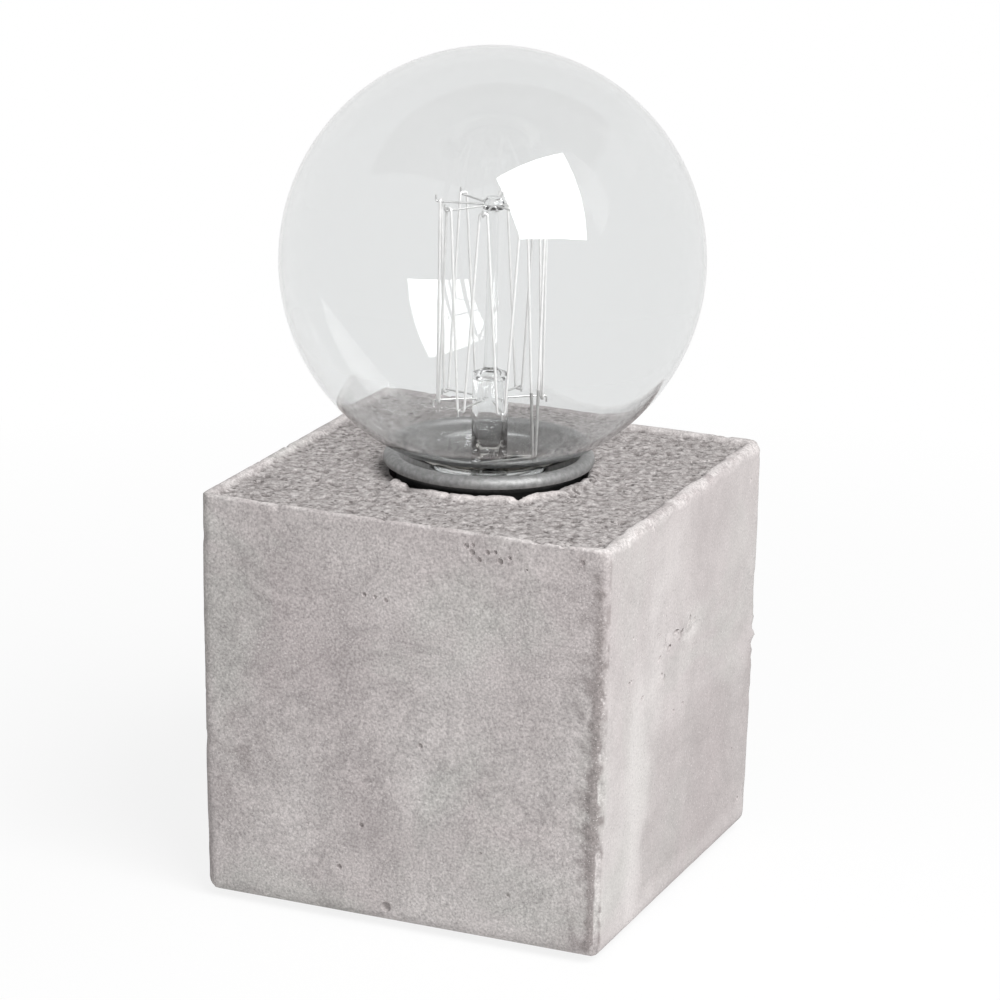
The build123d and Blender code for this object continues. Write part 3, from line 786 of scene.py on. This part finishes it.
globe = {
    "segments": 160, "rings": 96, "wall": 0.8 * mm, "lastRing": 38,  # rings kept under the middle
    "grown": 0.45 * mm,  # the photographed globe is a little over its nominal size
    "neckRadius": 13.6 * mm, "neckFoot": 13.3 * mm, "plugRadius": 12.2 * mm, "arcSteps": 12,
    "neckWall": 2.3 * mm, "thickAt": 98.4 * mm, "thickReach": 2.4 * mm,
    "tint": (0.905, 0.91, 0.91), "innerTint": (0.96, 0.965, 0.965), "bend": 1.5,
    "smears": 0.0012, "smearScale": 35,
    "absorb": 95.0, "absorbTint": (0.55, 0.57, 0.57),
}


def glassMaterial(name, tint, density):
    material, tree, shader = newMaterial(name)
    shader.inputs["Base Color"].default_value = (*tint, 1)
    shader.inputs["Transmission Weight"].default_value = 1.0
    shader.inputs["IOR"].default_value = globe["bend"]
    wipe = noiseAt(tree, objectCoords(tree), globe["smearScale"], 4, 0.6)
    tree.links.new(ranged(tree, wipe, 0.3, 0.7, 0.0, globe["smears"]), shader.inputs["Roughness"])
    if density:
        absorb = addNode(tree, "VolumeAbsorption", {"Color": (*globe["absorbTint"], 1), "Density": density})
        tree.links.new(absorb.outputs[0], tree.nodes["Material Output"].inputs["Volume"])
    return material


def letLightThrough(piece):
    piece.visible_shadow = False
    piece.visible_diffuse = False


def makeGlassGlobe():
    low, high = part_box("glass_globe")
    centre = high.z - (high.x - low.x) / 2
    radius = high.z - centre + globe["grown"]
    clearSelection()
    bpy.ops.mesh.primitive_uv_sphere_add(
        segments=globe["segments"], ring_count=globe["rings"], radius=radius, location=(0, 0, centre))
    bulb = bakePlace(nameNew("glassGlobe"))
    fall = globe["lastRing"] * math.pi / globe["rings"]
    edge = centre - radius * math.sin(fall)
    pick(bulb, "FACE", lambda face: face.center.z < edge)
    bpy.ops.mesh.delete(type="FACE")
    pickLevel(bulb, edge)
    # the neck: a hollow curve down from the sphere, then a slight cone into the cap
    fillet = (radius * math.cos(fall) - globe["neckRadius"]) / (1 - math.cos(fall))
    blendRadius = globe["neckRadius"] + fillet
    blendLevel = centre - (radius + fillet) * math.sin(fall)
    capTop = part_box("cap_shell")[1].z
    stations = []
    for step in range(1, globe["arcSteps"] + 1):
        angle = math.pi - fall * (1 - step / globe["arcSteps"])
        stations.append((blendRadius + fillet * math.cos(angle), blendLevel + fillet * math.sin(angle)))
    stations += [
        (globe["neckFoot"], capTop + globe["wall"]), (globe["plugRadius"], capTop), (globe["plugRadius"], low.z)]
    drawRings(radius * math.cos(fall), edge, stations)
    faceOutwards()
    # blown glass gathers where the neck begins, so its wall is thickest there
    thick = bulb.vertex_groups.new(name="thick")
    for vertex in bulb.data.vertices:
        share = hill(vertex.co.z, globe["thickAt"], globe["thickReach"])
        thick.add([vertex.index], globe["wall"] / globe["neckWall"] * (1 - share) + share, "REPLACE")
    thicken(bulb, globe["neckWall"], "thick")
    shadeSmooth(bulb, 35)
    bulb.data.materials.append(glassMaterial("globeGlass", globe["tint"], globe["absorb"]))
    letLightThrough(bulb)
    wholePiece(bulb, "bulb", "clear_glass", "glass_globe")
    print("glass globe blown:", len(bulb.data.polygons), "faces")


makeGlassGlobe()


# Felt under the cube

def roughen(piece, name, grain, strength, group):
    texture = bpy.data.textures.new(name, type="CLOUDS")
    texture.noise_scale = grain
    push = piece.modifiers.new(name, "DISPLACE")
    push.texture = texture
    push.texture_coords = "LOCAL"
    push.mid_level = 0.5
    push.strength = strength
    push.vertex_group = group


felt = {
    "fuzz": 0.18 * mm, "fuzzGrain": 1.2 * mm, "voxel": 0.75 * mm, "fibreScale": 900,
    "dark": grey(0.018), "pale": grey(0.075), "sheen": 0.4, "bump": 0.6, "bumpHeight": 0.3 * mm,
}


def feltMaterial():
    material, tree, shader = newMaterial("blackFelt")
    coords = objectCoords(tree)
    fibres = noiseAt(tree, coords, felt["fibreScale"], 6, 0.75, 1.5)
    tree.links.new(ramped(tree, fibres, (0.3, felt["dark"]), (0.7, felt["pale"])), shader.inputs["Base Color"])
    shader.inputs["Roughness"].default_value = 1.0
    shader.inputs["Sheen Weight"].default_value = felt["sheen"]
    addBump(tree, shader, fibres, felt["bump"], felt["bumpHeight"])
    return material


def makeFelt():
    low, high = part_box("felt_pad")
    size = high - low
    clearSelection()
    bpy.ops.mesh.primitive_cube_add(size=1, location=(low + high) / 2, scale=size)
    pad = bakePlace(nameNew("feltFoot"))
    pickUpright(pad, size.z / 2)
    bpy.ops.mesh.bevel(offset=cube["cornerRadius"], segments=cube["roundSteps"], affect="EDGES")
    bpy.ops.object.mode_set(mode="OBJECT")
    remesh = pad.modifiers.new("remesh", "REMESH")
    remesh.mode = "VOXEL"
    remesh.voxel_size = felt["voxel"]
    applyModifiers(pad)
    rim = pad.vertex_groups.new(name="rim")
    for vertex in pad.data.vertices:
        rim.add([vertex.index], 1.0 - abs(vertex.normal.z), "REPLACE")
    roughen(pad, "feltEdge", felt["fuzzGrain"], felt["fuzz"], "rim")
    applyModifiers(pad)
    shadeSmooth(pad, 60)
    pad.data.materials.append(feltMaterial())
    wholePiece(pad, "base", "felt", "felt_pad")
    print("felt cut:", len(pad.data.polygons), "faces")


makeFelt()


# Finishes of the CAD pieces

finishes = {
    "zincSteel": {"dark": (0.42, 0.42, 0.425), "pale": (0.62, 0.62, 0.61), "metal": 1.0,
                  "rough": (0.28, 0.5), "scale": 160},
    "satinMetal": {"dark": (0.18, 0.18, 0.18), "pale": (0.29, 0.29, 0.287), "metal": 0.55,
                   "rough": (0.46, 0.56), "scale": 900},
    "ceramic": {"dark": (0.68, 0.66, 0.62), "pale": (0.8, 0.78, 0.74), "metal": 0.0,
                "rough": (0.18, 0.32), "scale": 90},
    "brass": {"dark": (0.5, 0.34, 0.14), "pale": (0.76, 0.58, 0.3), "metal": 1.0,
              "rough": (0.25, 0.45), "scale": 140},
    "nickel": {"dark": (0.52, 0.51, 0.48), "pale": (0.7, 0.69, 0.66), "metal": 1.0,
               "rough": (0.2, 0.36), "scale": 200},
    "blackPlastic": {"dark": (0.03, 0.03, 0.032), "pale": (0.05, 0.05, 0.052), "metal": 0.0,
                     "rough": (0.45, 0.6), "scale": 900},
    "blackGlass": {"dark": (0.012, 0.012, 0.014), "pale": (0.03, 0.03, 0.032), "metal": 0.0,
                   "rough": (0.05, 0.15), "scale": 120},
    "cement": {"dark": (0.48, 0.44, 0.38), "pale": (0.64, 0.6, 0.54), "metal": 0.0,
               "rough": (0.8, 0.95), "scale": 700},
    "wire": {"dark": (0.42, 0.42, 0.415), "pale": (0.56, 0.56, 0.55), "metal": 0.6,
             "rough": (0.3, 0.45), "scale": 500},
    "hookWire": {"dark": (0.54, 0.54, 0.535), "pale": (0.68, 0.68, 0.675), "metal": 0.7,
                 "rough": (0.3, 0.45), "scale": 500},
    "filament": {"dark": (0.78, 0.775, 0.77), "pale": (0.9, 0.895, 0.89), "metal": 0.25,
                 "rough": (0.32, 0.45), "scale": 600},
}


rubbing = {"scale": 2.7, "bump": 0.12, "bumpHeight": 0.1 * mm}  # finer than the finish's own scale


def plainFinish(name):
    look = finishes[name]
    material, tree, shader = newMaterial(name)
    coords = objectCoords(tree)
    wear = noiseAt(tree, coords, look["scale"], 5, 0.6, 0.3)
    tree.links.new(ramped(tree, wear, (0.32, look["dark"]), (0.68, look["pale"])), shader.inputs["Base Color"])
    rubbed = noiseAt(tree, coords, look["scale"] * rubbing["scale"], 4, 0.6)
    tree.links.new(ranged(tree, rubbed, 0.3, 0.7, *look["rough"]), shader.inputs["Roughness"])
    shader.inputs["Metallic"].default_value = look["metal"]
    addBump(tree, shader, rubbed, rubbing["bump"], rubbing["bumpHeight"])
    return material


worn = {
    "zincSteel": ["threaded_nipple", "upper_nut", "lock_washer", "spread_washer", "lower_nut", "socket_bracket",
                  "bracket_screws"],
    "ceramic": ["lamp_socket"],
    "brass": ["centre_contact", "centre_terminal", "shell_terminal", "terminal_screws"],
    "nickel": ["end_contact"],
    "blackPlastic": ["cable_bush"],
    "blackGlass": ["cap_insulator"],
    "cement": ["cap_cement"],
    "wire": ["lead_wires"],
    "hookWire": ["top_hooks", "bottom_hooks"],
    "filament": ["filament"],
}


def dress(node, material):
    node.data.materials.clear()
    node.data.materials.append(material)


def dressNodes():
    for name, names in worn.items():
        material = plainFinish(name)
        for node in names:
            dress(nodes[node], material)
    innerGlass = glassMaterial("stemGlass", globe["innerTint"], 0)
    for node in ("glass_stem", "exhaust_tube"):
        dress(nodes[node], innerGlass)
        letLightThrough(nodes[node])


dressNodes()
print("CAD pieces finished")


# Lampholder cup: a drawn sheet with a rolled rim

cup = {
    "wall": 0.8 * mm, "roll": 1.85 * mm, "rollEnd": -20, "rollSteps": 28, "corner": 2.2 * mm, "cornerSteps": 5,
    "hole": 5.2 * mm, "steps": 144, "lift": 0.5 * mm,  # the rim stands a little higher than the solid's
    "shadeFrom": 95.6 * mm, "shadeTo": 97.0 * mm, "innerFrom": 86.0 * mm, "innerTo": 95.0 * mm,
    "outsideShade": 0.08, "deepShade": 0.12,  # painted shade: shares of the bare metal's tone outside down in the well, and at the inside wall's foot
}


def cupMaterial(inner):
    # painted shade: the bare metal's tone at the rim, the inside wall darker towards its foot, and the outside
    # nearly black down in the well
    material = plainFinish("satinMetal")
    tree = material.node_tree
    shader = tree.nodes["Principled BSDF"]
    colour = shader.inputs["Base Color"].links[0].from_socket
    coords = objectCoords(tree)
    height = addNode(tree, "SeparateXYZ", {0: coords}).outputs["Z"]
    shadeByHeight = ranged(tree, height, cup["shadeFrom"], cup["shadeTo"], cup["outsideShade"], 1.0)
    flat = addNode(tree, "VectorMath", {0: coords, 1: (1, 1, 0)}, operation="MULTIPLY").outputs["Vector"]
    reach = addNode(tree, "VectorMath", {0: flat}, operation="LENGTH").outputs["Value"]
    inside = ranged(tree, reach, inner + 0.2 * mm, inner + 0.6 * mm, 1.0, 0.0)
    deep = ranged(tree, height, cup["innerFrom"], cup["innerTo"], cup["deepShade"], 1.0)
    shade = reckoned(tree, "MAXIMUM", shadeByHeight, reckoned(tree, "MULTIPLY", inside, deep))
    tree.links.new(scaled(tree, colour, shade), shader.inputs["Base Color"])
    return material


def turnedSheet(name, stations, steps):
    clearSelection()
    reach, level = stations[0]
    bpy.ops.mesh.primitive_circle_add(vertices=steps, radius=reach, location=(0, 0, level))
    sheet = bakePlace(nameNew(name))
    pick(sheet, "EDGE", lambda e: True)
    drawRings(reach, level, stations[1:])
    return sheet


def makeHolderCup():
    low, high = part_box("holder_cup")
    roll, corner, floor = cup["roll"], cup["corner"], low.z + cup["wall"]
    middle, level = high.x - roll, high.z - roll + cup["lift"]
    inner = middle - roll
    stations = []
    for step in range(cup["rollSteps"] + 1):
        angle = math.radians(cup["rollEnd"] + (180 - cup["rollEnd"]) * step / cup["rollSteps"])
        stations.append((middle + roll * math.cos(angle), level + roll * math.sin(angle)))
    for step in range(cup["cornerSteps"] + 1):
        angle = math.pi / 2 * step / cup["cornerSteps"]
        stations.append((inner - corner + corner * math.cos(angle), floor + corner - corner * math.sin(angle)))
    stations.append((cup["hole"], floor))
    sheet = turnedSheet("holderCup", stations, cup["steps"])
    faceOutwards()
    thicken(sheet, cup["wall"])
    shadeSmooth(sheet, 40)
    sheet.data.materials.append(cupMaterial(inner))
    wholePiece(sheet, "base", "cup_metal", "holder_cup")
    print("cup rolled:", len(sheet.data.polygons), "faces")


makeHolderCup()


# Glass rod of the stem: a short tube under the lower hooks, drawn out to a thin rod with a button

rod = {
    "steps": 64, "footRadius": 2.4 * mm, "tubeLow": 0.8 * mm, "tubeHigh": 24.0 * mm, "tubeRadius": 4.1 * mm,
    "ease": 1.2 * mm, "rodRadius": 1.5 * mm, "tipRadius": 1.1 * mm,
    "buttonRadius": 2.4 * mm, "buttonHeight": 3.4 * mm, "buttonRound": 0.85 * mm,
    "bore": 2.9 * mm, "boreEnd": 1.6 * mm,
}


def capEnds(piece, *levels):
    for level in levels:
        pickLevel(piece, level)
        bpy.ops.mesh.edge_face_add()


def makeGlassRod(glass):
    low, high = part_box("glass_rod")
    bottom, top, ease = low.z + rod["tubeLow"], low.z + rod["tubeHigh"], rod["ease"]
    button, soft = high.z - rod["buttonHeight"], rod["buttonRound"]
    piece = turnedSheet("glassRod", [
        (rod["footRadius"], low.z), (rod["footRadius"], bottom), (rod["tubeRadius"], bottom + ease),
        (rod["tubeRadius"], top - ease), (rod["rodRadius"], top), (rod["tipRadius"], button),
        (rod["buttonRadius"], button + soft), (rod["buttonRadius"], high.z - soft),
        (rod["buttonRadius"] - soft, high.z)], rod["steps"])
    capEnds(piece, low.z, high.z)
    faceOutwards()
    hollow = turnedSheet("rodBore", [
        (rod["bore"] / 2, bottom + ease), (rod["bore"], bottom + ease + rod["boreEnd"]),
        (rod["bore"], top - ease - rod["boreEnd"]), (rod["bore"] / 2, top - ease)], rod["steps"])
    capEnds(hollow, bottom + ease, top - ease)
    faceOutwards()
    cutAway(piece, hollow)
    shadeSmooth(piece, 50)
    piece.data.materials.append(glass)
    letLightThrough(piece)
    wholePiece(piece, "bulb", "clear_glass", "glass_rod")
    print("rod drawn:", len(piece.data.polygons), "faces")


makeGlassRod(nodes["glass_stem"].data.materials[0])


# Screw cap of the bulb and screw shell of the socket, with the thread pressed into their sheet metal

thread = {
    "pitch": 3.629 * mm, "depth": 0.42 * mm, "fade": 2.2 * mm, "wall": 0.4 * mm, "steps": 96, "cuts": 70,
    "capFloor": 8.6 * mm, "capCone": 4.0 * mm, "shellFloor": 9.4 * mm, "shellHeight": 26.0 * mm,
    "tabPlace": 10.3 * mm, "tabWidth": 3.6 * mm, "tabEdge": 0.1 * mm, "longEdge": 10 * mm,
}


def pressedIn(place, low, high):
    # one groove that climbs by the pitch in each turn and fades out at both ends
    turn = math.atan2(place.y, place.x) / (2 * math.pi)
    wave = 0.5 - 0.5 * math.cos(2 * math.pi * (place.z / thread["pitch"] - turn))
    ends = stepUp(place.z, low, low + thread["fade"]) * (1 - stepUp(place.z, high - thread["fade"], high))
    return thread["depth"] * wave * ends


def threadedSleeve(name, stations, low, high):
    sleeve = turnedSheet(name, stations, thread["steps"])
    pickUpright(sleeve, thread["longEdge"])
    bpy.ops.mesh.subdivide(number_cuts=thread["cuts"])
    faceOutwards()
    wide = stations[-1][0]
    for vertex in sleeve.data.vertices:
        if math.hypot(vertex.co.x, vertex.co.y) > wide - 0.1 * mm:
            share = 1 - pressedIn(vertex.co, low, high) / wide
            vertex.co.x *= share
            vertex.co.y *= share
    thicken(sleeve, thread["wall"])
    shadeSmooth(sleeve, 40)
    return sleeve


def makeScrewCap():
    low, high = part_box("cap_shell")
    shoulder = low.z + thread["capCone"]
    cap = threadedSleeve(
        "screwCap", [(thread["capFloor"], low.z), (high.x, shoulder), (high.x, high.z)],
        shoulder - thread["fade"], high.z)
    cap.data.materials.append(nodes["end_contact"].data.materials[0])
    wholePiece(cap, "bulb", "cap_nickel", "cap_shell")


def makeScrewShell():
    low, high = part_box("screw_shell")
    floor = high.z - thread["shellHeight"]
    shell = threadedSleeve(
        "screwShell", [(thread["shellFloor"], floor), (high.x, floor), (high.x, high.z)],
        floor + 2 * mm, high.z + thread["fade"])
    clearSelection()
    bpy.ops.mesh.primitive_cube_add(
        size=1, location=(thread["tabPlace"], 0, (low.z + floor + thread["wall"] / 2) / 2),
        scale=(thread["wall"], thread["tabWidth"], floor + thread["wall"] / 2 - low.z))
    tab = bakePlace(nameNew("shellTab"))
    pick(tab, "EDGE", lambda e: True)
    bpy.ops.mesh.bevel(offset=thread["tabEdge"], segments=2, affect="EDGES")
    bpy.ops.object.mode_set(mode="OBJECT")
    joinTo(shell, [tab])
    shell.data.materials.append(nodes["centre_contact"].data.materials[0])
    wholePiece(shell, "base", "contact_brass", "screw_shell")


makeScrewCap()
makeScrewShell()
print("threads pressed")
